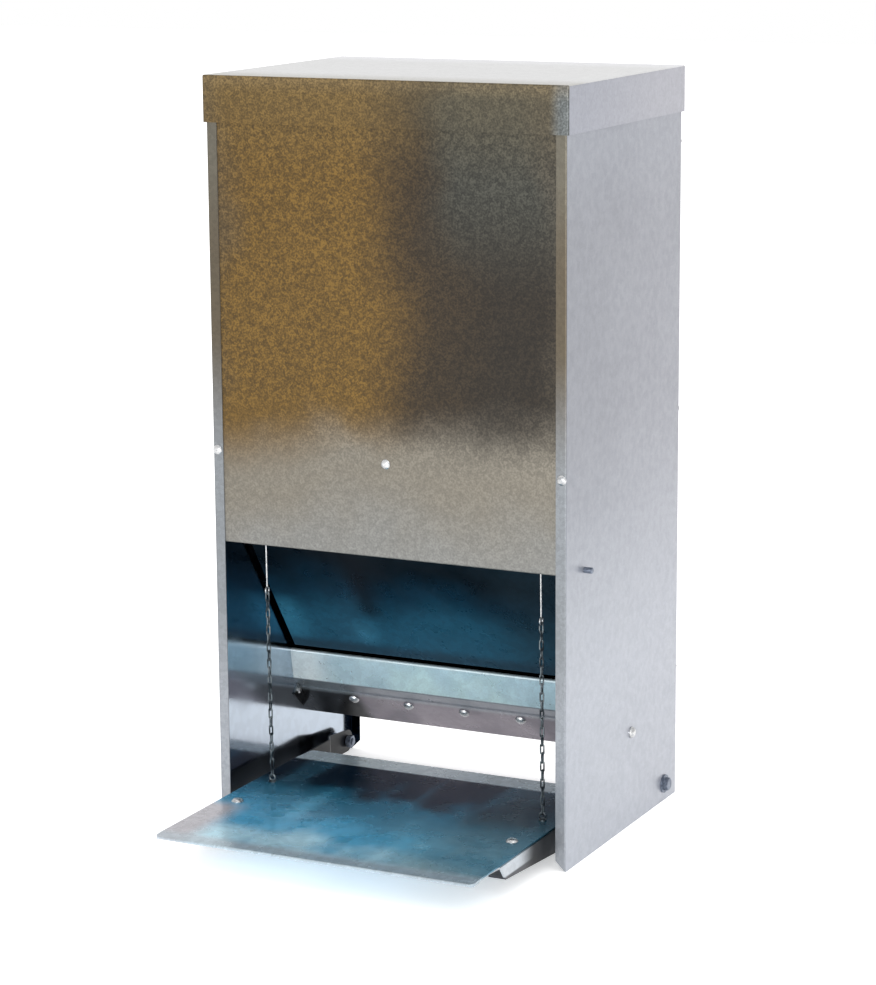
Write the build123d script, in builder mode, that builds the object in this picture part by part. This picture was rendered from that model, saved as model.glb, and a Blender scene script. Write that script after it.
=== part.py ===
"""A treadle-operated gravity poultry feeder of folded galvanised sheet, in millimetres.

Feed lies in a hopper under a lift-off lid, slides down a chute and drops into a trough.
A hinged flap closes the trough. A bird that stands on the treadle pulls two small chains,
which swing the flap back and up; the flap's own weight closes it and lifts the treadle.

Frame: +X to the right, +Y to the back, +Z up, origin under the middle of the whole object.
Depths in the sections below are measured back from the front face of the housing.
"""

import os
from math import cos, hypot, radians

from build123d import *

os.makedirs("parts", exist_ok=True)

# Housing
housing_width = 253.5
housing_depth = 189.0
total_height = 500.0
sheet = 0.8
bend = 1.2
flange_width = 7.4
seam = 0.02
lid_gap = 0.8
lid_skirt = 29.5
lid_rest_gap = 0.2
front_edge_height = 193.5
back_edge_height = 38.0
front_hem = 7.0

# Treadle
treadle_front = 109.4
treadle_rear = 104.3
treadle_half = 112.8
treadle_top = 24.2
plate_gauge = 1.0
plate_corner = 4.0
arm_gauge = 1.2

# Pivots, as (depth, height)
flap_pivot = (29.0, 192.2)
treadle_pivot = (167.0, 12.0)

# Slopes, as (depth, height) of the ends of each lower face
chute_top = (1.64, 250.0)
chute_end = (162.0, 126.4)
flap_top = (29.85, 199.0)
flap_edge = (99.2, 99.3)
pan_top = (109.0, 66.5)
pan_floor_front = (137.2, 41.0)

# Derived sizes
lid_half_width = housing_width / 2 + 2 * lid_gap
lid_back = housing_depth + 2 * lid_gap
front_y = -(lid_back - treadle_front) / 2
half_width = housing_width / 2
inner_half = half_width - sheet
panel_top = total_height - sheet - lid_rest_gap
rear_inner = housing_depth - sheet


def back(depth):
    """Y of a point this far behind the housing's front face."""
    return front_y + depth


def unit(start, end):
    """Direction from one (depth, height) point to another."""
    length = hypot(end[0] - start[0], end[1] - start[1])
    return ((end[0] - start[0]) / length, (end[1] - start[1]) / length)


def along(start, direction, distance, lift=0.0):
    """Point at a distance along a slope, and lifted at right angles off its face."""
    return (
        start[0] + direction[0] * distance - direction[1] * lift,
        start[1] + direction[1] * distance + direction[0] * lift,
    )


def folded(points, gauge=sheet, radius=bend):
    """Section of a folded sheet: its outer face as (depth, height) points, metal on the left."""
    with BuildSketch() as section:
        with BuildLine():
            FilletPolyline(*[(back(y), z) for y, z in points], radius=radius)
            offset(amount=gauge, side=Side.LEFT)
        make_face()
    return section.sketch


def outline(points):
    """Closed polygon from (depth, height) points."""
    with BuildSketch() as section:
        with BuildLine():
            Polyline(*[(back(y), z) for y, z in points], close=True)
        make_face()
    return section.sketch


def rivet(grip, head_radius=3.2, head_height=1.5, shank=1.6, tail_radius=2.3, tail_height=1.5):
    """Blind rivet: domed head above Z = 0, closed tail below the metal that it grips."""
    with BuildPart() as body:
        with BuildSketch(Plane.XZ):
            with BuildLine():
                ThreePointArc(
                    (0, head_height),
                    (0.72 * head_radius, 0.74 * head_height),
                    (head_radius, 0.25 * head_height),
                )
                Polyline(
                    (head_radius, 0.25 * head_height),
                    (head_radius, 0),
                    (shank, 0),
                    (shank, -grip),
                    (tail_radius, -grip),
                    (tail_radius, -grip - 0.6 * tail_height),
                    (0.6 * tail_radius, -grip - tail_height),
                    (0, -grip - tail_height),
                    (0, head_height),
                )
            make_face()
        revolve(axis=Axis.Z)
    return body.part


def dome_screw(length, head_radius, head_height, shank):
    """Round-headed screw: head above Z = 0 and a chamfered shank below it."""
    with BuildPart() as body:
        with BuildSketch(Plane.XZ):
            with BuildLine():
                ThreePointArc(
                    (0, head_height),
                    (0.75 * head_radius, 0.68 * head_height),
                    (head_radius, 0.12 * head_height),
                )
                Polyline(
                    (head_radius, 0.12 * head_height),
                    (head_radius, 0),
                    (shank, 0),
                    (shank, 0.4 - length),
                    (shank - 0.4, -length),
                    (0, -length),
                    (0, head_height),
                )
            make_face()
        revolve(axis=Axis.Z)
    return body.part


def flange_bolt(length, across_flats, head_height, shank, flange, flange_thick):
    """Hexagon bolt with a flange: head above Z = 0, its top corners turned off, shank below."""
    with BuildPart() as body:
        with BuildSketch():
            RegularPolygon(radius=across_flats / 2, side_count=6, major_radius=False)
        extrude(amount=head_height)
        with BuildSketch(Plane.XZ):
            corner = across_flats / 2 / cos(radians(30))
            with BuildLine():
                Polyline(
                    (0, -1),
                    (corner + 1, -1),
                    (corner + 1, head_height - (corner + 1 - 0.95 * across_flats / 2) * 0.58),
                    (0.95 * across_flats / 2, head_height),
                    (0, head_height),
                    close=True,
                )
            make_face()
        revolve(axis=Axis.Z, mode=Mode.INTERSECT)
        with BuildSketch():
            Circle(flange)
        extrude(amount=flange_thick)
        with BuildSketch():
            Circle(shank)
        extrude(amount=-length)
        chamfer(body.faces().sort_by(Axis.Z)[0].edges(), length=0.5)
    return body.part


def hex_nut(across_flats, height, bore):
    """Hexagon nut standing on Z = 0, with both ends' corners turned off."""
    corner = across_flats / 2 / cos(radians(30))
    cut = (corner - 0.95 * across_flats / 2) * 0.58
    with BuildPart() as body:
        with BuildSketch():
            RegularPolygon(radius=across_flats / 2, side_count=6, major_radius=False)
            Circle(bore, mode=Mode.SUBTRACT)
        extrude(amount=height)
        with BuildSketch(Plane.XZ):
            with BuildLine():
                Polyline(
                    (0, 0),
                    (0.95 * across_flats / 2, 0),
                    (corner, cut),
                    (corner, height - cut),
                    (0.95 * across_flats / 2, height),
                    (0, height),
                    close=True,
                )
            make_face()
        revolve(axis=Axis.Z, mode=Mode.INTERSECT)
    return body.part


def tube(outer, inner, length):
    """Plain spacer or washer standing on Z = 0."""
    with BuildPart() as body:
        with BuildSketch():
            Circle(outer)
            Circle(inner, mode=Mode.SUBTRACT)
        extrude(amount=length)
    return body.part


def place(x, depth, height, facing):
    """Location whose +Z points along facing, with its +X across the feeder where it can be."""
    across = (0, 1, 0) if facing[0] else (1, 0, 0)
    return Plane(origin=(x, back(depth), height), x_dir=across, z_dir=facing).location


def save(part, name):
    """Labels a finished piece and writes it."""
    part.label = name
    export_step(part, f"parts/{name}.step")


# ---------------------------------------------------------------- housing fasteners' places
rivet_x = half_width - flange_width / 2 + 0.4
front_rivet_height = 255.3
back_rivet_heights = (90.0, 270.0, 450.0)
rivet_hole = 1.65

pan_slope = unit(pan_top, pan_floor_front)
pan_rivet = along(pan_top, pan_slope, 0.6, lift=-2.5)
lip_screw_at = along(pan_top, pan_slope, 8.6)
lip_screw_pitch = 42.5
trough_back_rivet_pitch = 80.0
trough_back_height = 62.0
trough_back_rivet_height = 52.0

flap_bolt_radius = 2.0
treadle_bolt_radius = 2.5
bolt_hole_gap = 0.1


# ---------------------------------------------------------------- side panels
def side_panel():
    """Right-hand side: a web with a front and a rear flange, mitred at the floor."""
    flange_edge = half_width - flange_width
    with BuildPart() as panel:
        with BuildSketch(Plane.XY):
            with BuildLine():
                FilletPolyline(
                    (flange_edge, back(0)),
                    (half_width, back(0)),
                    (half_width, back(housing_depth)),
                    (flange_edge, back(housing_depth)),
                    radius=bend,
                )
                offset(amount=sheet, side=Side.LEFT)
            make_face()
        extrude(amount=panel_top)
        with BuildSketch(Plane.XZ.offset(-back(housing_depth + 1))):
            with BuildLine():
                Polyline(
                    (inner_half, 0),
                    (flange_edge - 1, inner_half - flange_edge + 1),
                    (flange_edge - 1, -1),
                    (inner_half, -1),
                    close=True,
                )
            make_face()
        extrude(amount=housing_depth + 2, mode=Mode.SUBTRACT)
        with BuildSketch(Plane.YZ.offset(inner_half - 1)):
            for (depth, height), radius in (
                (flap_pivot, flap_bolt_radius + bolt_hole_gap),
                (treadle_pivot, treadle_bolt_radius + bolt_hole_gap),
                (pan_rivet, rivet_hole),
            ):
                with Locations((back(depth), height)):
                    Circle(radius)
        extrude(amount=2, mode=Mode.SUBTRACT)
        with BuildSketch(Plane.XZ.offset(-back(housing_depth + 1))):
            with Locations(*[(rivet_x, height) for height in back_rivet_heights]):
                Circle(rivet_hole)
        extrude(amount=2.5, mode=Mode.SUBTRACT)
        with BuildSketch(Plane.XZ.offset(-back(-1))):
            with Locations((rivet_x, front_rivet_height)):
                Circle(rivet_hole)
        extrude(amount=-2.5, mode=Mode.SUBTRACT)
    return panel.part


with BuildPart() as right_side_panel:
    add(side_panel())
save(right_side_panel.part, "right_side_panel")

with BuildPart() as left_side_panel:
    mirror(right_side_panel.part, about=Plane.YZ)
save(left_side_panel.part, "left_side_panel")


# ---------------------------------------------------------------- front and back panels
panel_half = inner_half - 0.6
front_panel_face = sheet + seam
back_panel_face = rear_inner - seam

with BuildPart() as front_panel:
    with BuildSketch(Plane.YZ):
        add(
            folded(
                [
                    (front_panel_face, panel_top),
                    (front_panel_face, front_edge_height),
                    (front_panel_face + front_hem, front_edge_height),
                ]
            )
        )
    extrude(amount=panel_half, both=True)
    with BuildSketch(Plane.XZ.offset(-back(0))):
        with Locations(*[(x, front_rivet_height) for x in (-rivet_x, 0, rivet_x)]):
            Circle(rivet_hole)
    extrude(amount=-3, mode=Mode.SUBTRACT)
save(front_panel.part, "front_panel")

with BuildPart() as back_panel:
    with BuildSketch(Plane.XZ.offset(-back(back_panel_face))):
        with Locations((0, (back_edge_height + panel_top) / 2)):
            Rectangle(2 * panel_half, panel_top - back_edge_height)
        for x in (-rivet_x, rivet_x):
            with Locations(*[(x, height) for height in back_rivet_heights]):
                Circle(rivet_hole, mode=Mode.SUBTRACT)
        with Locations((0, trough_back_rivet_height)):
            with GridLocations(trough_back_rivet_pitch, 0, 3, 1):
                Circle(rivet_hole, mode=Mode.SUBTRACT)
    extrude(amount=sheet)
save(back_panel.part, "back_panel")


# ---------------------------------------------------------------- lid
lid_height = lid_skirt + sheet
with BuildPart() as lid:
    with BuildSketch(Plane.XY.offset(total_height - lid_height)):
        with Locations((0, back(housing_depth / 2))):
            Rectangle(2 * lid_half_width, housing_depth + 4 * lid_gap)
    extrude(amount=lid_height)
    fillet(lid.edges().filter_by(Axis.Z), radius=bend)
    fillet(lid.faces().sort_by(Axis.Z)[-1].edges(), radius=1.0)
    offset(amount=-sheet, openings=lid.faces().sort_by(Axis.Z)[0])
save(lid.part, "lid")


# ---------------------------------------------------------------- chute inside the hopper
chute_slope = unit(chute_top, chute_end)
chute_flange = 8.0
chute_half = inner_half - 0.1

with BuildPart() as chute:
    with BuildSketch(Plane.YZ):
        add(folded([(chute_top[0], 270.0), chute_top, chute_end]))
    extrude(amount=chute_half, both=True)
    for side in (-1, 1):
        with BuildSketch(Plane.YZ.offset(side * chute_half)):
            add(
                outline(
                    [
                        along(chute_top, chute_slope, 12, lift=0.4),
                        along(chute_end, chute_slope, -8, lift=0.4),
                        along(chute_end, chute_slope, -14, lift=-chute_flange),
                        along(chute_top, chute_slope, 18, lift=-chute_flange),
                    ]
                )
            )
        extrude(amount=-side * sheet)
    with BuildSketch(Plane.XZ.offset(-back(0))):
        with Locations(*[(x, front_rivet_height) for x in (-rivet_x, 0, rivet_x)]):
            Circle(rivet_hole)
    extrude(amount=-4, mode=Mode.SUBTRACT)
save(chute.part, "chute")


# ---------------------------------------------------------------- trough pan and its lip
pan_back = back_panel_face - sheet - seam

with BuildPart() as trough_pan:
    with BuildSketch(Plane.YZ):
        add(
            folded(
                [
                    pan_top,
                    pan_floor_front,
                    (pan_back, pan_floor_front[1]),
                    (pan_back, trough_back_height),
                ]
            )
        )
    extrude(amount=chute_half, both=True)
    for side in (-1, 1):
        with BuildSketch(Plane.YZ.offset(side * chute_half)):
            add(
                outline(
                    [
                        along(pan_top, pan_slope, -3.4, lift=0.4),
                        along(pan_top, pan_slope, 18, lift=0.4),
                        along(pan_top, pan_slope, 14, lift=-8),
                        along(pan_top, pan_slope, -3.4, lift=-8),
                    ]
                )
            )
            with Locations((back(pan_rivet[0]), pan_rivet[1])):
                Circle(rivet_hole, mode=Mode.SUBTRACT)
        extrude(amount=-side * sheet)
    with Locations(place(0, *lip_screw_at, (0, pan_slope[1], -pan_slope[0]))):
        with GridLocations(lip_screw_pitch, 0, 5, 1):
            Cylinder(radius=2.1, height=6, mode=Mode.SUBTRACT)
    with BuildSketch(Plane.XZ.offset(-back(pan_back + 1))):
        with Locations((0, trough_back_rivet_height)):
            with GridLocations(trough_back_rivet_pitch, 0, 3, 1):
                Circle(rivet_hole)
    extrude(amount=3, mode=Mode.SUBTRACT)
save(trough_pan.part, "trough_pan")

lip_crest = (98.0, 96.2)
lip_hem = 3.6
lip_fold = along(pan_top, pan_slope, -10.0, lift=sheet + seam)
lip_end = along(pan_top, pan_slope, 17.0, lift=sheet + seam)

with BuildPart() as trough_lip:
    with BuildSketch(Plane.YZ):
        add(folded([(lip_crest[0] + lip_hem, lip_crest[1]), lip_crest, lip_fold, lip_end]))
    extrude(amount=chute_half, both=True)
    with Locations(place(0, *lip_screw_at, (0, pan_slope[1], -pan_slope[0]))):
        with GridLocations(lip_screw_pitch, 0, 5, 1):
            Cylinder(radius=2.1, height=6, mode=Mode.SUBTRACT)
save(trough_lip.part, "trough_lip")


# ---------------------------------------------------------------- fixed fasteners
lip_grip = 2 * sheet + seam
outward_of_slope = (0, pan_slope[1], -pan_slope[0])
inward_of_slope = (0, -pan_slope[1], pan_slope[0])

with BuildPart() as lip_screws:
    with Locations(place(0, *lip_screw_at, outward_of_slope)):
        with GridLocations(lip_screw_pitch, 0, 5, 1):
            add(dome_screw(lip_grip + 4.4, head_radius=3.8, head_height=2.6, shank=2.0))
save(lip_screws.part, "lip_screws")

with BuildPart() as lip_nuts:
    with Locations(place(0, *along(lip_screw_at, pan_slope, 0, lift=lip_grip), inward_of_slope)):
        with GridLocations(lip_screw_pitch, 0, 5, 1):
            add(hex_nut(across_flats=7.0, height=3.2, bore=2.05))
save(lip_nuts.part, "lip_nuts")

three_sheets = 3 * sheet + 2 * seam
with BuildPart() as front_rivets:
    for x in (-rivet_x, rivet_x):
        with Locations(place(x, 0, front_rivet_height, (0, -1, 0))):
            add(rivet(grip=three_sheets))
    with Locations(place(0, front_panel_face, front_rivet_height, (0, -1, 0))):
        add(rivet(grip=2 * sheet + seam))
save(front_rivets.part, "front_rivets")

with BuildPart() as back_rivets:
    for x in (-rivet_x, rivet_x):
        for height in back_rivet_heights:
            with Locations(place(x, housing_depth, height, (0, 1, 0))):
                add(rivet(grip=2 * sheet + seam, head_height=1.3))
save(back_rivets.part, "back_rivets")

with BuildPart() as trough_side_rivets:
    for side in (-1, 1):
        with Locations(place(side * half_width, *pan_rivet, (side, 0, 0))):
            add(rivet(grip=2 * sheet + 0.1, head_radius=3.9, head_height=3.0))
save(trough_side_rivets.part, "trough_side_rivets")

with BuildPart() as trough_back_rivets:
    for step in (-1, 0, 1):
        x = step * trough_back_rivet_pitch
        with Locations(place(x, back_panel_face, trough_back_rivet_height, (0, 1, 0))):
            add(rivet(grip=2 * sheet + seam, head_height=1.3))
save(trough_back_rivets.part, "trough_back_rivets")

flap_half = 122.6
flap_side_gap = 0.4
flap_head_face = flap_half - sheet - flap_side_gap
flap_bolt_end = half_width + 5.5

with BuildPart() as flap_pivot_bolts:
    for side in (-1, 1):
        with Locations(place(side * flap_head_face, *flap_pivot, (-side, 0, 0))):
            add(dome_screw(flap_bolt_end - flap_head_face, 3.6, 2.4, flap_bolt_radius))
save(flap_pivot_bolts.part, "flap_pivot_bolts")

flap_nut_face = flap_half + flap_side_gap
with BuildPart() as flap_pivot_nuts:
    for side in (-1, 1):
        with Locations(place(side * flap_nut_face, *flap_pivot, (side, 0, 0))):
            add(hex_nut(7.0, inner_half - flap_nut_face, flap_bolt_radius + 0.05))
save(flap_pivot_nuts.part, "flap_pivot_nuts")


# ---------------------------------------------------------------- flap
lever_tip = (14.0, 199.0)
hook_hole_depth = 20.5
hook_x = 100.0
hook_hole = 2.2
flap_turn = (106.0, 99.3)
flap_slope = unit(flap_top, flap_edge)
flap_length = hypot(flap_edge[0] - flap_top[0], flap_edge[1] - flap_top[1])
ear_top = along(flap_top, flap_slope, 3.0, lift=sheet / 2)
ear_foot = along(flap_top, flap_slope, 16.0, lift=sheet / 2)

with BuildPart() as flap:
    with BuildSketch(Plane.YZ):
        add(folded([lever_tip, flap_top, flap_edge, flap_turn]))
    extrude(amount=flap_half, both=True)
    for side in (-1, 1):
        with BuildSketch(Plane.YZ.offset(side * flap_half)):
            with Locations((back(flap_pivot[0]), flap_pivot[1])):
                Circle(6.0)
            for depth, height in (ear_top, ear_foot):
                with Locations((back(depth), height)):
                    Circle(0.4)
            make_hull()
        extrude(amount=-side * sheet)
    with BuildSketch(Plane.YZ):
        with Locations((back(flap_pivot[0]), flap_pivot[1])):
            Circle(flap_bolt_radius + 0.05)
    extrude(amount=flap_half + 1, both=True, mode=Mode.SUBTRACT)
    with BuildSketch(Plane.XY.offset(flap_top[1] - 4)):
        with Locations((-hook_x, back(hook_hole_depth)), (hook_x, back(hook_hole_depth))):
            Circle(hook_hole)
    extrude(amount=8, mode=Mode.SUBTRACT)
save(flap.part, "flap")

ballast_width = 14.0
ballast_thick = 5.0
ballast_half = 100.0
ballast_start = along(flap_top, flap_slope, flap_length - 22.0, lift=sheet + seam)
ballast_end = along(ballast_start, flap_slope, ballast_width)

with BuildPart() as flap_ballast_bar:
    with BuildSketch(Plane.YZ):
        add(
            outline(
                [
                    ballast_start,
                    ballast_end,
                    along(ballast_end, flap_slope, 0, lift=ballast_thick),
                    along(ballast_start, flap_slope, 0, lift=ballast_thick),
                ]
            )
        )
    extrude(amount=ballast_half, both=True)
    chamfer(flap_ballast_bar.edges().filter_by(Axis.X), length=0.6)
save(flap_ballast_bar.part, "flap_ballast_bar")


# ---------------------------------------------------------------- treadle
front_margin = 9.0
rear_margin = 24.0
front_drop = 0.5
rear_drop = 1.2
hem = 9.0
arm_face = treadle_half + 0.1 + arm_gauge
arm_flange = 21.0
arm_flange_rear = 76.0
arm_bottom_flange = 12.0
arm_nose = (-72.0, -64.0)
arm_top = treadle_top - plate_gauge - seam
arm_knee = (10.0, 7.6)
arm_nose_height = 13.2
arm_tail_radius = 8.0
arm_joggle = (131.0, 141.0)
tail_face = 119.6
screw_depth = -24.2
screw_x = 100.0
eye_depth = 23.5


def hem_under(edge, fold):
    """Margin of the plate folded under itself: a layer of double thickness with a round nose."""
    slope = unit(edge, fold)
    drop = plate_gauge if edge[0] > fold[0] else -plate_gauge
    with BuildSketch() as section:
        for distance in (plate_gauge, hem):
            depth, height = along(edge, slope, distance, lift=drop)
            with Locations((back(depth), height)):
                Circle(plate_gauge)
        make_hull()
    return section.sketch


front_edge = (-treadle_front, treadle_top - front_drop)
front_fold = (front_margin - treadle_front, treadle_top)
rear_fold = (treadle_rear - rear_margin, treadle_top)
rear_edge = (treadle_rear, treadle_top - rear_drop)
plate_start = along(rear_edge, unit(rear_edge, rear_fold), plate_gauge)
plate_end = along(front_edge, unit(front_edge, front_fold), plate_gauge)

with BuildPart() as treadle_plate:
    with BuildSketch(Plane.YZ):
        add(folded([plate_start, rear_fold, front_fold, plate_end], gauge=plate_gauge))
        add(hem_under(front_edge, front_fold))
        add(hem_under(rear_edge, rear_fold))
    extrude(amount=treadle_half, both=True)
    with BuildSketch(Plane.XY.offset(treadle_top - 5)):
        with Locations((0, back((treadle_rear - treadle_front) / 2))):
            RectangleRounded(2 * treadle_half, treadle_rear + treadle_front, plate_corner)
    extrude(amount=6, mode=Mode.INTERSECT)
    with BuildSketch(Plane.XY.offset(treadle_top + 1)):
        for x, depth in ((screw_x, screw_depth), (hook_x, eye_depth)):
            with Locations((-x, back(depth)), (x, back(depth))):
                Circle(2.1 if depth == screw_depth else 1.6)
    extrude(amount=-4, mode=Mode.SUBTRACT)
save(treadle_plate.part, "treadle_plate")


def treadle_arm():
    """Right-hand arm: a tapering channel under the plate, cranked out to its pivot."""
    nose_top, nose_bottom = arm_nose
    tail_y, tail_z = treadle_pivot
    with BuildPart() as arm:
        with BuildSketch(Plane.XY):
            with BuildLine():
                FilletPolyline(
                    (arm_face, back(nose_top - 1)),
                    (arm_face, back(arm_joggle[0])),
                    (tail_face, back(arm_joggle[1])),
                    (tail_face, back(tail_y + arm_tail_radius + 1)),
                    radius=3.0,
                )
                offset(amount=arm_gauge, side=Side.LEFT)
            make_face()
        extrude(amount=arm_top)
        with BuildSketch(Plane.YZ):
            add(
                outline(
                    [
                        (nose_top, arm_top),
                        (arm_joggle[0], arm_top),
                        (tail_y + 1.2, tail_z + arm_tail_radius - 0.1),
                        (tail_y, tail_z - arm_tail_radius),
                        arm_knee,
                        (nose_bottom, arm_nose_height),
                    ]
                )
            )
            with Locations((back(tail_y), tail_z)):
                Circle(arm_tail_radius)
                Circle(treadle_bolt_radius + 0.05, mode=Mode.SUBTRACT)
        extrude(amount=half_width, mode=Mode.INTERSECT)
        with BuildSketch(Plane.XY.offset(arm_top)):
            with BuildLine():
                Polyline(
                    (arm_face - arm_flange, back(nose_top + 2)),
                    (arm_face - 0.5, back(nose_top + 2)),
                    (arm_face - 0.5, back(arm_flange_rear)),
                    (arm_face - arm_flange, back(arm_flange_rear - 10)),
                    close=True,
                )
            make_face()
            for x, depth in ((screw_x, screw_depth), (hook_x, eye_depth)):
                with Locations((x, back(depth))):
                    Circle(2.1 if depth == screw_depth else 1.6, mode=Mode.SUBTRACT)
        extrude(amount=-arm_gauge)
        with BuildSketch(Plane.YZ.offset(arm_face - 0.5)):
            add(
                folded(
                    [
                        (nose_bottom, arm_nose_height),
                        arm_knee,
                        (arm_joggle[0] - 4, lower_edge_height(arm_joggle[0] - 4)),
                    ],
                    gauge=arm_gauge,
                )
            )
        extrude(amount=0.5 - arm_bottom_flange)
    return arm.part


def lower_edge_height(depth):
    """Height of the arm's lower edge between its knee and its tail."""
    end = (treadle_pivot[0], treadle_pivot[1] - arm_tail_radius)
    return arm_knee[1] + (depth - arm_knee[0]) * (end[1] - arm_knee[1]) / (end[0] - arm_knee[0])


with BuildPart() as treadle_arm_right:
    add(treadle_arm())
save(treadle_arm_right.part, "treadle_arm_right")

with BuildPart() as treadle_arm_left:
    mirror(treadle_arm_right.part, about=Plane.YZ)
save(treadle_arm_left.part, "treadle_arm_left")

under_flange = arm_top - arm_gauge
with BuildPart() as treadle_screws:
    with Locations(*[place(x, screw_depth, treadle_top, (0, 0, 1)) for x in (-screw_x, screw_x)]):
        add(dome_screw(treadle_top - under_flange + 4.4, 4.0, 2.0, 2.0))
save(treadle_screws.part, "treadle_screws")

with BuildPart() as treadle_nuts:
    with Locations(*[place(x, screw_depth, under_flange, (0, 0, -1)) for x in (-screw_x, screw_x)]):
        add(hex_nut(across_flats=7.0, height=3.2, bore=2.05))
save(treadle_nuts.part, "treadle_nuts")

# Eye bolts that the chains hang on
eye_ring = 2.0
eye_wire = 0.6
eye_center = treadle_top + 0.6 + eye_ring + eye_wire

with BuildPart() as treadle_eyes:
    for x in (-hook_x, hook_x):
        with Locations(place(x, eye_depth, eye_center, (0, 1, 0))):
            Torus(eye_ring, eye_wire)
        with Locations(place(x, eye_depth, treadle_top, (0, 0, 1))):
            Cylinder(2.6, 0.8, align=(Align.CENTER, Align.CENTER, Align.MIN))
            Cylinder(
                1.5,
                treadle_top - under_flange + 3.4,
                align=(Align.CENTER, Align.CENTER, Align.MAX),
            )
save(treadle_eyes.part, "treadle_eyes")

with BuildPart() as treadle_eye_nuts:
    with Locations(*[place(x, eye_depth, under_flange, (0, 0, -1)) for x in (-hook_x, hook_x)]):
        add(hex_nut(across_flats=5.5, height=2.4, bore=1.55))
save(treadle_eye_nuts.part, "treadle_eye_nuts")

# Treadle pivots
arm_side_gap = 0.3
nut_face = tail_face - arm_gauge - arm_side_gap

with BuildPart() as treadle_pivot_bolts:
    for side in (-1, 1):
        with Locations(place(side * half_width, *treadle_pivot, (side, 0, 0))):
            add(flange_bolt(half_width - nut_face + 5.0, 8.0, 4.2, treadle_bolt_radius, 6.3, 1.2))
save(treadle_pivot_bolts.part, "treadle_pivot_bolts")

with BuildPart() as treadle_pivot_spacers:
    for side in (-1, 1):
        with Locations(place(side * (tail_face + arm_side_gap), *treadle_pivot, (side, 0, 0))):
            length = inner_half - tail_face - arm_side_gap
            add(tube(4.6, treadle_bolt_radius + 0.05, length))
save(treadle_pivot_spacers.part, "treadle_pivot_spacers")

with BuildPart() as treadle_pivot_nuts:
    for side in (-1, 1):
        with Locations(place(side * nut_face, *treadle_pivot, (-side, 0, 0))):
            add(hex_nut(across_flats=8.0, height=4.0, bore=treadle_bolt_radius + 0.05))
save(treadle_pivot_nuts.part, "treadle_pivot_nuts")


# ---------------------------------------------------------------- chains and their hooks
chain_wire = 0.5
chain_pitch = 5.8
chain_play = 0.1
link_width = 2.3
link_count = 22
hook_wire = 0.6
hook_loop = 2.2
hook_bend = 4.2
hook_bend_height = 197.0
hook_leg = 3.0

link_length = chain_pitch + 2 * chain_wire + chain_play
chain_foot = (eye_depth, eye_center + eye_ring - eye_wire - chain_wire - 0.15)
chain_head = (hook_hole_depth, hook_bend_height)
chain_axis = unit(chain_foot, chain_head)
chain_reach = hypot(chain_head[0] - chain_foot[0], chain_head[1] - chain_foot[1])
last_crown = (link_count - 1) * chain_pitch + link_length
loop_center = last_crown - chain_wire - chain_play - hook_wire + hook_loop


def chain_plane(x, distance):
    """Plane across the chain at a distance up from its lowest crown, X staying along X."""
    depth, height = along(chain_foot, chain_axis, distance)
    axis = (0, chain_axis[0], chain_axis[1])
    return Plane(origin=(x, back(depth), height), x_dir=(1, 0, 0), z_dir=axis)


def chain_link():
    """One link standing on its lower crown, in the XZ plane: two half rings and two legs."""
    radius = link_width / 2
    low, high = radius, link_length - radius
    with BuildPart() as link:
        with BuildSketch(Plane.XY.offset(low)):
            with Locations((-radius, 0), (radius, 0)):
                Circle(chain_wire)
        extrude(amount=high - low)
        for height, turn in ((low, -180), (high, 180)):
            with BuildSketch(Plane.XY.offset(height)):
                with Locations((radius, 0)):
                    Circle(chain_wire)
            revolve(axis=Axis((0, 0, height), (0, -1, 0)), revolution_arc=turn)
    return link.part


def hook_shape():
    """Wire hook in the YZ plane, its bend centred over Z = 0 and its loop below."""
    drop = chain_reach - loop_center
    with BuildPart() as hook:
        with BuildSketch(Plane.XY.offset(-drop + hook_loop)):
            Circle(hook_wire)
        extrude(amount=drop - hook_loop)
        with BuildSketch(Plane.XY):
            Circle(hook_wire)
        revolve(axis=Axis((0, -hook_bend, 0), (1, 0, 0)), revolution_arc=180)
        with BuildSketch(Plane.XY):
            with Locations((0, -2 * hook_bend)):
                Circle(hook_wire)
        extrude(amount=-hook_leg)
        with Locations(Plane(origin=(0, 0, -drop), z_dir=(1, 0, 0)).location):
            Torus(hook_loop, hook_wire)
    return hook.part


for name, x in (("left", -hook_x), ("right", hook_x)):
    with BuildPart() as chain:
        for index in range(link_count):
            turned = chain_plane(x, index * chain_pitch).rotated((0, 0, 90 * ((index + 1) % 2)))
            with Locations(turned.location):
                add(chain_link())
    save(chain.part, f"chain_{name}")
    with BuildPart() as hook_part:
        with Locations(chain_plane(x, chain_reach).location):
            add(hook_shape())
    save(hook_part.part, f"chain_hook_{name}")
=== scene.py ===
"""Looks of the treadle poultry feeder: galvanised sheet, zinc fasteners, studio light and camera.

Every colour is painted in the feeder's own space from landmarks of its frame, so a patch stays
on the metal from every side. Lengths are in metres.
"""

import math

import bpy
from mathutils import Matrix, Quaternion, Vector


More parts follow.
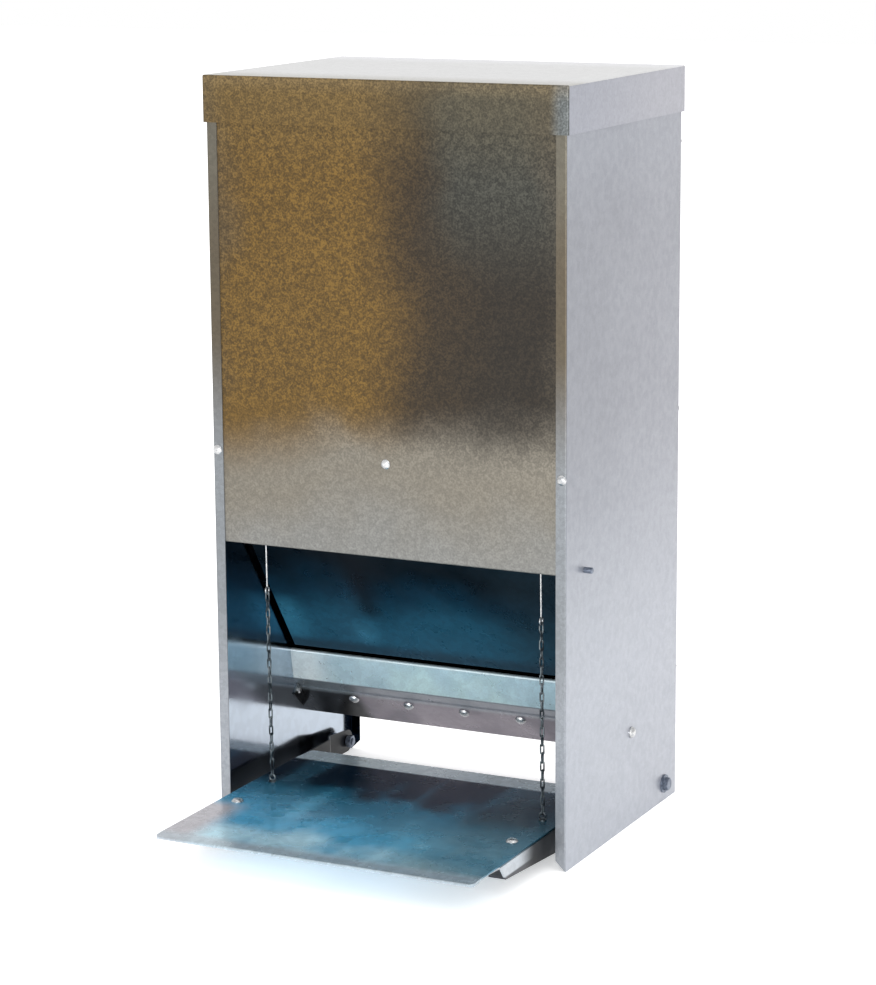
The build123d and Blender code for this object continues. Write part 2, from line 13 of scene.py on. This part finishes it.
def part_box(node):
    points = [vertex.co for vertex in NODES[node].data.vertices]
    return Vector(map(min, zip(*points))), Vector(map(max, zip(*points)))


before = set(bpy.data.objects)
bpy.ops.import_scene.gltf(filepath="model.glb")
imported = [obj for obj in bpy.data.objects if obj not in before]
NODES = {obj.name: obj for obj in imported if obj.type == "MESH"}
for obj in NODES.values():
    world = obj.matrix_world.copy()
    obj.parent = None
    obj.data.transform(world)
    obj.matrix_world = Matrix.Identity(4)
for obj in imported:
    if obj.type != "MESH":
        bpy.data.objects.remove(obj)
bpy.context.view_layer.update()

# ---------------------------------------------------------------- landmarks of the frame
side_low, side_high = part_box("right_side_panel")
lid_low, lid_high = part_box("lid")
plate_low, plate_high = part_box("treadle_plate")
front_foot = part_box("front_panel")[0].z
flap_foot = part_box("flap")[0].z
lip_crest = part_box("trough_lip")[1].z
pan_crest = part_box("trough_pan")[0].z + 0.0258
lip_foot = pan_crest + 0.0068

housing_front = side_low.y
housing_back = side_high.y
half_width = side_high.x
half_sheet = 0.0004

# Heights on the treadle arms between which their pale face turns dark with painted shade
arm_pale_above = 0.0158
arm_dark_below = 0.0142


def up(share):
    """Height at a share of the feeder's height."""
    return share * lid_high.z


# ---------------------------------------------------------------- node helpers
class Metal:
    """One metal material and short names for building its node tree."""

    def __init__(self, name, metallic):
        self.material = bpy.data.materials.new(name)
        self.material.use_nodes = True
        self.tree = self.material.node_tree
        self.shader = self.tree.nodes["Principled BSDF"]
        self.shader.inputs["Metallic"].default_value = metallic
        self.place = self.add("ShaderNodeTexCoord").outputs["Object"]
        split = self.add("ShaderNodeSeparateXYZ")
        self.link(self.place, split.inputs[0])
        self.x, self.y, self.z = split.outputs

    def add(self, kind, **settings):
        node = self.tree.nodes.new(kind)
        for key, value in settings.items():
            setattr(node, key, value)
        return node

    def link(self, source, target):
        self.tree.links.new(source, target)

    def feed(self, socket, value):
        """Sets a socket to a number or a colour, or links another socket to it."""
        if isinstance(value, (int, float)):
            socket.default_value = value
        elif isinstance(value, tuple):
            socket.default_value = (*value, 1.0)
        else:
            self.link(value, socket)

    def ramp(self, value, low, high, start=0.0, end=1.0):
        """Smooth step of a value from start at low to end at high."""
        node = self.add("ShaderNodeMapRange", interpolation_type="SMOOTHSTEP")
        limits = {"From Min": low, "From Max": high, "To Min": start, "To Max": end}
        for name, number in limits.items():
            node.inputs[name].default_value = number
        self.feed(node.inputs["Value"], value)
        return node.outputs["Result"]

    def band(self, value, middle, half, soft):
        """One inside a band of values and zero outside it."""
        rise = self.ramp(value, middle - half - soft, middle - half + soft)
        fall = self.ramp(value, middle + half - soft, middle + half + soft, 1.0, 0.0)
        return self.both(rise, fall)

    def math(self, operation, first, second):
        node = self.add("ShaderNodeMath", operation=operation)
        self.feed(node.inputs[0], first)
        self.feed(node.inputs[1], second)
        return node.outputs[0]

    def both(self, first, second):
        return self.math("MULTIPLY", first, second)

    def mix(self, factor, first, second, blend="MIX"):
        """Colour between two others."""
        node = self.add("ShaderNodeMix", data_type="RGBA", blend_type=blend)
        self.feed(node.inputs[0], factor)
        self.feed(node.inputs[6], first)
        self.feed(node.inputs[7], second)
        return node.outputs[2]

    def blend(self, factor, first, second):
        """Number between two others."""
        node = self.add("ShaderNodeMix", data_type="FLOAT")
        self.feed(node.inputs[0], factor)
        self.feed(node.inputs[2], first)
        self.feed(node.inputs[3], second)
        return node.outputs[0]

    def grey(self, value):
        node = self.add("ShaderNodeCombineColor")
        for socket in node.inputs:
            self.link(value, socket)
        return node.outputs[0]

    def noise(self, scale, detail, stretch=(1, 1, 1), warp=0.0):
        mapping = self.add("ShaderNodeMapping")
        mapping.inputs["Scale"].default_value = stretch
        self.link(self.place, mapping.inputs["Vector"])
        node = self.add("ShaderNodeTexNoise")
        node.inputs["Scale"].default_value = scale
        node.inputs["Detail"].default_value = detail
        node.inputs["Distortion"].default_value = warp
        self.link(mapping.outputs[0], node.inputs["Vector"])
        return node.outputs["Fac"]

    def vary(self, scale, detail, low, high, warp=0.0):
        """Number that drifts at random from low to high."""
        return self.ramp(self.noise(scale, detail, warp=warp), 0.3, 0.7, low, high)

    def cells(self, scale, wobble=0.35):
        """Random grey for each zinc crystal, on cells with ragged edges."""
        push = self.add("ShaderNodeTexNoise")
        push.inputs["Scale"].default_value = scale * 1.7
        self.link(self.place, push.inputs["Vector"])
        moved = self.add("ShaderNodeMix", data_type="VECTOR")
        moved.inputs[0].default_value = wobble / scale
        self.link(self.place, moved.inputs[4])
        self.link(push.outputs["Color"], moved.inputs[5])
        node = self.add("ShaderNodeTexVoronoi")
        node.inputs["Scale"].default_value = scale
        self.link(moved.outputs[1], node.inputs["Vector"])
        split = self.add("ShaderNodeSeparateColor")
        self.link(node.outputs["Color"], split.inputs[0])
        return split.outputs[0]

    def spangled(self, colour, amount):
        """Strong dark and light zinc crystals, mixed in by the amount."""
        large = self.ramp(self.cells(400.0), 0.1, 0.9, 0.78, 1.20)
        small = self.ramp(self.noise(760.0, 4.0), 0.38, 0.62, 0.66, 1.30)
        strong = self.mix(1.0, colour, self.grey(self.both(large, small)), "MULTIPLY")
        return self.mix(amount, colour, strong)

    def mottle(self, colour, crystal, spread, speck=0.0):
        """Faint zinc crystals that stray from the colour by the spread, and fine specks."""
        spangle = self.ramp(self.cells(crystal), 0.1, 0.9, 1.0 - spread, 1.0 + spread)
        shaded = self.mix(1.0, colour, self.grey(spangle), "MULTIPLY")
        if not speck:
            return shaded
        specks = self.noise(crystal * 3.1, 4.0)
        fine = self.ramp(specks, 0.36, 0.64, 1.0 - speck, 1.0 + speck)
        return self.mix(1.0, shaded, self.grey(fine), "MULTIPLY")

    def colour(self, value):
        self.feed(self.shader.inputs["Base Color"], value)

    def roughness(self, value):
        self.feed(self.shader.inputs["Roughness"], value)

    def bump(self, height, strength, distance):
        node = self.add("ShaderNodeBump")
        node.inputs["Strength"].default_value = strength
        node.inputs["Distance"].default_value = distance
        self.link(height, node.inputs["Height"])
        self.link(node.outputs[0], self.shader.inputs["Normal"])

    def finish_smooth(self, colour, spread, speck, smooth, rough):
        """Ends a smooth bright sheet: faint crystals and a slow ripple in the metal."""
        self.colour(self.mottle(colour, 240.0, spread, speck))
        self.roughness(self.vary(60.0, 3.0, smooth, rough))
        self.bump(self.noise(24.0, 2.0), 0.12, 0.002)


def linear(level):
    """Linear level of a display level given from 0 to 255."""
    level = level / 255
    return ((level + 0.055) / 1.055) ** 2.4 if level > 10 / 255 else level / 12.92


def tone(red, green, blue):
    """Linear colour of a display colour given from 0 to 255."""
    return linear(red), linear(green), linear(blue)


painted = set()


def paint(names, metal):
    for name in names:
        mesh = NODES[name].data
        mesh.materials.clear()
        mesh.materials.append(metal.material)
        painted.add(name)


# ---------------------------------------------------------------- galvanised sheet, outside
def front_painted_reflection(m, wander):
    """Painted reflection on the front: ochre on the left, dark from the middle on, slate at the top
    right.
    """
    across = m.math("ADD", m.x, wander)
    colour = m.mix(m.ramp(across, -0.020, 0.036), tone(92, 69, 26), tone(46, 36, 22))
    colour = m.mix(m.ramp(across, 0.030, 0.080), colour, tone(34, 28, 20))
    slate = m.both(m.ramp(across, 0.025, 0.060), m.ramp(m.z, up(0.72), up(0.88)))
    colour = m.mix(slate, colour, tone(52, 52, 46))
    # Painted reflection: paler towards both side edges and towards the top.
    left_edge = m.ramp(across, -0.100, -half_width, 0.0, 0.8)
    colour = m.mix(left_edge, colour, tone(80, 66, 44))
    right_edge = m.ramp(across, 0.100, half_width, 0.0, 0.6)
    colour = m.mix(right_edge, colour, tone(64, 58, 48))
    head = m.ramp(m.z, up(0.86), up(1.0), 0.0, 0.3)
    return m.mix(head, colour, tone(100, 88, 60))


def front_sheet():
    """Front panel: mottled zinc with painted reflections, paling to a neutral grey at its foot."""
    m = Metal("front_sheet", metallic=0.5)
    wander = m.vary(12.0, 3.0, -0.010, 0.010)
    colour = front_painted_reflection(m, wander)
    # Painted reflection of the floor: paler towards the foot, reaching higher on the left.
    left_lift = m.ramp(m.x, -half_width, -0.03, 0.012, 0.0)
    height = m.math("ADD", m.math("ADD", m.z, wander), left_lift)
    pale = m.ramp(height, front_foot + 0.108, front_foot + 0.058)
    colour = m.mix(pale, colour, tone(112, 107, 97))
    palest = m.ramp(height, front_foot + 0.055, front_foot)
    colour = m.mix(palest, colour, tone(117, 117, 114))
    crystals = m.ramp(m.z, front_foot + 0.05, front_foot + 0.12, 0.35, 1.0)
    m.colour(m.spangled(colour, crystals))
    m.roughness(m.ramp(m.cells(620.0), 0.0, 1.0, 0.36, 0.50))
    m.bump(m.noise(1100.0, 2.0), 0.10, 0.0003)
    return m


def lid_skirt_front(m):
    """Colour of the lid's front skirt: the front's painted reflection, with a painted highlight at
    its right corner and along its top fold.
    """
    wander = m.vary(12.0, 3.0, -0.010, 0.010)
    # Painted highlight on the fold at the right corner.
    corner = m.ramp(m.x, lid_high.x - 0.014, lid_high.x - 0.004)
    colour = m.mix(corner, front_painted_reflection(m, wander), tone(90, 94, 94))
    # Painted highlight along the top fold.
    fold = m.ramp(m.z, lid_high.z - 0.012, lid_high.z, 0.0, 0.3)
    return m.mix(fold, colour, tone(120, 104, 76))


def lid_top(m):
    """Colour of the lid's top: pale, with painted shade near the front edge and painted light at
    the back.
    """
    # Painted shade near the front edge.
    near = m.ramp(m.y, lid_low.y + 0.045, lid_low.y + 0.002)
    colour = m.mix(m.both(near, 0.8), tone(205, 205, 205), tone(176, 174, 168))
    # Painted light at the back.
    far = m.ramp(m.y, lid_high.y - 0.05, lid_high.y)
    return m.mix(far, colour, tone(216, 216, 219))


def lid_sheet():
    """Lid: the front's painted reflection on its front skirt, pale satin zinc on the top and the
    other sides.
    """
    m = Metal("lid_sheet", metallic=0.5)
    is_front = m.math("LESS_THAN", m.y, lid_low.y + 0.0011)
    is_top = m.math("GREATER_THAN", m.z, lid_high.z - 0.0006)
    # Painted light on the sides: darker at the front, lighter towards the back.
    depth = m.ramp(m.y, housing_front, housing_back)
    sides = m.mix(depth, tone(148, 150, 159), tone(162, 162, 169))
    satin = m.mottle(m.mix(is_top, sides, lid_top(m)), 260.0, 0.03, speck=0.03)
    m.colour(m.mix(is_front, satin, m.spangled(lid_skirt_front(m), 0.85)))
    m.roughness(m.vary(500.0, 4.0, 0.36, 0.48))
    m.bump(m.noise(900.0, 2.0), 0.08, 0.0003)
    return m


def side_outside(m):
    """Colour of the side panels' outside: lilac-grey satin zinc with painted reflection, darker in
    the middle heights.
    """
    # Painted reflection: darker in the middle heights, another tone at the top, lighter towards the
    # back.
    middle = m.ramp(m.z, up(0.2), up(0.6))
    colour = m.mix(middle, tone(164, 168, 176), tone(132, 134, 141))
    head = m.ramp(m.z, up(0.8), up(0.96))
    colour = m.mix(head, colour, tone(144, 147, 155))
    rear = m.ramp(m.y, housing_front, housing_back, 0.0, 0.3)
    colour = m.mix(rear, colour, tone(166, 166, 173))
    haze = m.ramp(m.noise(14.0, 3.0), 0.35, 0.65, 0.0, 0.12)
    colour = m.mix(haze, colour, tone(162, 164, 170))
    return m.mottle(colour, 300.0, 0.03, speck=0.03)


def front_flange(m):
    """Colour of the side panels' front flanges, which frame the front: painted reflection, brown
    from mid height up and paler towards the foot.
    """
    colour = m.mix(m.ramp(m.z, up(0.48), up(0.68)), tone(122, 126, 130), tone(84, 76, 63))
    colour = m.mix(m.ramp(m.z, up(0.32), up(0.14)), colour, tone(142, 146, 152))
    colour = m.mix(m.ramp(m.z, up(0.76), up(0.92)), colour, tone(94, 90, 80))
    return m.mottle(colour, 500.0, 0.07, speck=0.06)


def side_sheet():
    """Side and back panels: satin zinc outside, near mirror-bright inside, painted shade at the
    back.

    The painted shade takes in the rear flanges and, on both of its faces, the whole back panel.
    """
    m = Metal("side_sheet", metallic=0.7)
    is_flange = m.math("LESS_THAN", m.y, housing_front + half_sheet)
    colour = m.mix(is_flange, side_outside(m), front_flange(m))
    within = m.math("LESS_THAN", m.math("ABSOLUTE", m.x, 0.0), half_width - half_sheet)
    behind = m.math("GREATER_THAN", m.y, housing_front + 0.0006)
    inside = m.both(within, behind)
    colour = m.mix(inside, colour, m.mottle(tone(178, 188, 200), 200.0, 0.03))
    # Painted shade at the back: the rear flanges and, on both faces, the whole back panel.
    rear = m.both(inside, m.math("GREATER_THAN", m.y, housing_back - 0.002))
    m.colour(m.mix(rear, colour, tone(14, 24, 36)))
    satin = m.vary(160.0, 4.0, 0.34, 0.44)
    bright = m.vary(30.0, 3.0, 0.10, 0.17)
    m.roughness(m.blend(inside, satin, bright))
    m.feed(m.shader.inputs["Metallic"], m.math("MAXIMUM", inside, 0.7))
    m.bump(m.noise(700.0, 2.0), 0.05, 0.0002)
    return m


# ---------------------------------------------------------------- bright sheet, inside
def flap_sheet():
    """Flap: smooth bright zinc, painted navy shade at the top and painted blue reflection in
    patches lower down.
    """
    m = Metal("flap_sheet", metallic=0.5)
    foot = flap_foot
    height = m.math("ADD", m.z, m.vary(14.0, 2.0, -0.008, 0.008))
    # Painted reflection in blue low down, painted navy shade higher up.
    colour = m.mix(m.ramp(height, foot + 0.022, foot + 0.056), tone(38, 96, 122), tone(16, 52, 72))
    colour = m.mix(m.ramp(height, foot + 0.048, foot + 0.078), colour, tone(9, 18, 26))
    above = m.ramp(m.z, foot + 0.026, foot + 0.040, 0.0, 0.8)
    # Painted shade in a dark upright stripe.
    shade = m.both(m.band(m.x, -0.050, 0.007, 0.010), above)
    colour = m.mix(shade, colour, tone(7, 12, 20))
    # Painted reflection: a bright blue patch low on the left.
    low = m.band(height, foot + 0.018, 0.006, 0.012)
    bright_reflection = m.both(m.band(m.x, -0.060, 0.006, 0.010), low)
    colour = m.mix(bright_reflection, colour, tone(70, 142, 172))
    # Painted reflection: lighter blue at the left.
    left = m.both(m.ramp(m.x, -0.095, -0.120), m.band(height, foot + 0.024, 0.012, 0.012))
    colour = m.mix(left, colour, tone(64, 140, 170))
    # Painted shade towards the right.
    right = m.ramp(m.x, 0.02, 0.09, 0.0, 0.7)
    colour = m.mix(right, colour, tone(36, 52, 62))
    # Painted shade along the foot, next to the lip.
    hem_shade = m.ramp(m.z, foot + 0.012, foot + 0.004, 0.0, 0.7)
    colour = m.mix(hem_shade, colour, tone(34, 56, 72))
    m.finish_smooth(colour, spread=0.08, speck=0.05, smooth=0.26, rough=0.36)
    return m


def trough_sheet():
    """Trough, lip and chute: smooth bright zinc with a painted pale blue reflection."""
    m = Metal("inner_sheet", metallic=0.5)
    # Painted reflection: the lip's pale blue.
    blue_reflection = m.ramp(m.noise(24.0, 2.0), 0.40, 0.60)
    lip = m.mix(blue_reflection, tone(196, 222, 230), tone(212, 238, 238))
    # Painted light at the lip's left end.
    left_end_light_and_shade = m.ramp(m.x, -half_width + 0.040, -half_width + 0.012)
    lip = m.mix(left_end_light_and_shade, lip, tone(240, 248, 246))
    crest = m.ramp(m.z, lip_crest - 0.003, lip_crest - 0.001, 0.0, 0.5)
    lip = m.mix(crest, lip, tone(215, 225, 228))
    # Painted reflection on the pan: brown-grey tones.
    pan_reflection = m.ramp(m.noise(20.0, 2.0), 0.40, 0.62)
    pan = m.mix(pan_reflection, tone(104, 98, 108), tone(138, 130, 138))
    # Painted shade at the pan's left end.
    left_end_light_and_shade = m.ramp(m.x, -half_width + 0.050, -half_width + 0.040)
    pan = m.mix(left_end_light_and_shade, pan, tone(4, 9, 16))
    # Painted highlight along the pan's upper edge.
    edge = m.ramp(m.z, pan_crest - 0.004, pan_crest - 0.001, 0.0, 0.5)
    pan = m.mix(edge, pan, tone(160, 170, 176))
    colour = m.mix(m.ramp(m.z, lip_foot + 0.0005, lip_foot + 0.0015), pan, lip)
    m.finish_smooth(colour, spread=0.05, speck=0.04, smooth=0.26, rough=0.38)
    return m


def treadle_sheet():
    """Treadle plate: smooth bright zinc with painted reflections, blue in stripes across it and
    pale at its margins.
    """
    m = Metal("treadle_sheet", metallic=0.5)
    start = housing_front
    depth = m.math("ADD", m.y, m.vary(13.0, 3.0, -0.018, 0.018, warp=0.5))
    # Painted reflection from pale at the nose to blue, and painted shade where the plate runs under
    # the housing.
    nose = m.ramp(depth, start - 0.100, start - 0.060)
    colour = m.mix(nose, tone(176, 214, 228), tone(48, 150, 188))
    colour = m.mix(m.ramp(depth, start - 0.050, start - 0.012), colour, tone(28, 114, 146))
    colour = m.mix(m.ramp(depth, start - 0.002, start + 0.030), colour, tone(4, 36, 58))
    # Painted reflection in long blue stripes.
    streak_reflections = m.noise(30.0, 2.0, stretch=(1.0, 0.22, 1.0), warp=0.3)
    colour = m.mix(m.ramp(streak_reflections, 0.50, 0.64, 0.0, 0.4), colour, tone(70, 140, 170))
    # Painted reflection: a bright blue stripe on the left.
    patch = m.band(m.y, start - 0.020, 0.030, 0.030)
    bright_reflection = m.both(m.band(m.x, -0.054, 0.004, 0.010), patch)
    colour = m.mix(m.both(bright_reflection, 0.8), colour, tone(100, 190, 224))
    # Painted shade towards the right.
    right = m.ramp(m.x, 0.030, 0.080, 0.0, 0.65)
    colour = m.mix(right, colour, tone(44, 76, 88))
    # Painted reflection: pale grey at the left rear.
    left = m.both(m.ramp(m.x, -0.080, -0.100), m.ramp(m.y, start - 0.022, start - 0.040))
    colour = m.mix(left, colour, tone(172, 170, 176))
    # Painted reflection along the front margin and along the rear fold.
    front = m.ramp(m.y, plate_low.y + 0.018, plate_low.y + 0.006, 0.0, 0.8)
    colour = m.mix(front, colour, tone(170, 180, 188))
    rear = m.ramp(m.y, plate_high.y - 0.0265, plate_high.y - 0.0235, 0.0, 0.9)
    rear_fold_reflection = m.mix(m.ramp(m.x, -0.07, 0.07), tone(236, 250, 255), tone(186, 204, 212))
    colour = m.mix(rear, colour, rear_fold_reflection)
    m.finish_smooth(colour, spread=0.08, speck=0.05, smooth=0.20, rough=0.30)
    return m


def arm_sheet():
    """Treadle arms: pale zinc, with painted shade low down and in the shade of the plate and the
    housing.
    """
    m = Metal("arm_sheet", metallic=0.5)
    # Painted shade on the lower part of the arms.
    under = m.ramp(m.z, arm_pale_above, arm_dark_below)
    colour = m.mix(under, tone(176, 182, 188), tone(50, 52, 58))
    shade = m.ramp(m.y, housing_front - 0.048, housing_front - 0.020)
    colour = m.mix(shade, colour, tone(5, 8, 12))
    m.finish_smooth(colour, spread=0.05, speck=0.05, smooth=0.28, rough=0.40)
    return m


# ---------------------------------------------------------------- fasteners and chains
def hardware(name, metallic, patches, dull, pale, smooth, rough):
    """Metal of small parts: two tones in patches, with a fine change of roughness."""
    m = Metal(name, metallic)
    m.colour(m.mix(patches(m), dull, pale))
    m.roughness(m.vary(500.0, 2.0, smooth, rough))
    return m


def fine_patches(m):
    return m.ramp(m.noise(300.0, 3.0), 0.35, 0.65)


def link_patches(m):
    return m.ramp(m.noise(160.0, 2.0), 0.40, 0.60)


zinc = hardware(
    "zinc_fasteners", 0.9, fine_patches, tone(168, 170, 172), tone(206, 206, 206), 0.22, 0.34
)
dark = hardware(
    "dark_fasteners", 0.8, fine_patches, tone(90, 98, 112), tone(128, 136, 150), 0.34, 0.46
)
wire = hardware("chain_wire", 0.85, link_patches, tone(34, 42, 48), tone(112, 120, 124), 0.30, 0.42)

paint(["front_panel"], front_sheet())
paint(["lid"], lid_sheet())
paint(["left_side_panel", "right_side_panel", "back_panel"], side_sheet())
paint(["flap", "flap_ballast_bar"], flap_sheet())
paint(["chute", "trough_pan", "trough_lip"], trough_sheet())
paint(["treadle_plate"], treadle_sheet())
paint(["treadle_arm_left", "treadle_arm_right"], arm_sheet())
paint(["flap_pivot_bolts", "treadle_pivot_bolts"], dark)
paint(["treadle_pivot_nuts", "treadle_pivot_spacers"], dark)
paint(["chain_left", "chain_right", "treadle_eyes"], wire)
paint([name for name in NODES if name not in painted], zinc)


# ---------------------------------------------------------------- floor, light, camera
def area_light(name, place, aim, size, power):
    data = bpy.data.lights.new(name, "AREA")
    data.shape = "RECTANGLE"
    data.size, data.size_y = size
    data.energy = power
    lamp = bpy.data.objects.new(name, data)
    bpy.context.scene.collection.objects.link(lamp)
    lamp.location = place
    lamp.rotation_mode = "QUATERNION"
    lamp.rotation_quaternion = (Vector(aim) - Vector(place)).to_track_quat("-Z", "Y")


def make_floor(reach):
    """Pale paper floor that glows a little, so that the feeder's shadow stays soft."""
    mesh = bpy.data.meshes.new("floor")
    corners = [(-reach, -reach, 0), (reach, -reach, 0), (reach, reach, 0), (-reach, reach, 0)]
    mesh.from_pydata(corners, [], [(0, 1, 2, 3)])
    floor = bpy.data.objects.new("floor", mesh)
    bpy.context.scene.collection.objects.link(floor)
    paper = Metal("floor", metallic=0.0)
    paper.roughness(0.9)
    paper.shader.inputs["Emission Color"].default_value = (1, 1, 1, 1)
    paper.shader.inputs["Emission Strength"].default_value = 0.45
    paper.colour(paper.mix(paper.noise(2.0, 2.0), (0.93, 0.93, 0.93), (0.96, 0.96, 0.96)))
    mesh.materials.append(paper.material)


def make_world():
    """Even pale surroundings."""
    world = bpy.data.worlds.new("studio")
    bpy.context.scene.world = world
    world.use_nodes = True
    background = world.node_tree.nodes["Background"]
    background.inputs["Color"].default_value = (1, 1, 1, 1)
    background.inputs["Strength"].default_value = 1.0


def make_camera(azimuth, elevation, roll, distance, lens, target):
    """Camera that looks at the target, turned from the feeder's front by the azimuth."""
    level = math.cos(elevation)
    side, rise = math.sin(azimuth) * level, math.sin(elevation)
    away = Vector((side, -math.cos(azimuth) * level, rise))
    data = bpy.data.cameras.new("camera")
    data.sensor_width = 36.0
    data.lens = lens
    camera = bpy.data.objects.new("camera", data)
    bpy.context.scene.collection.objects.link(camera)
    camera.location = target + away * distance
    camera.rotation_mode = "QUATERNION"
    camera.rotation_quaternion = (-away).to_track_quat("-Z", "Y") @ Quaternion((0, 0, 1), roll)
    bpy.context.scene.camera = camera


bpy.context.scene.view_settings.view_transform = "Standard"
make_floor(reach=8.0)
make_world()
area_light("key", place=(1.8, -1.6, 2.4), aim=(0, 0, 0.25), size=(1.6, 1.6), power=10)
area_light("overhead", place=(0.0, 0.2, 2.6), aim=(0, 0, 0.4), size=(2.0, 2.0), power=10)
area_light("front fill", place=(0.5, -2.2, 0.45), aim=(0, 0, 0.2), size=(1.6, 0.8), power=26)
make_camera(
    azimuth=math.radians(26.11),
    elevation=math.radians(11.86),
    roll=math.radians(-0.39),
    distance=1.944,
    lens=111.8,
    target=Vector((0.0376, housing_front, 0.2403)),
)
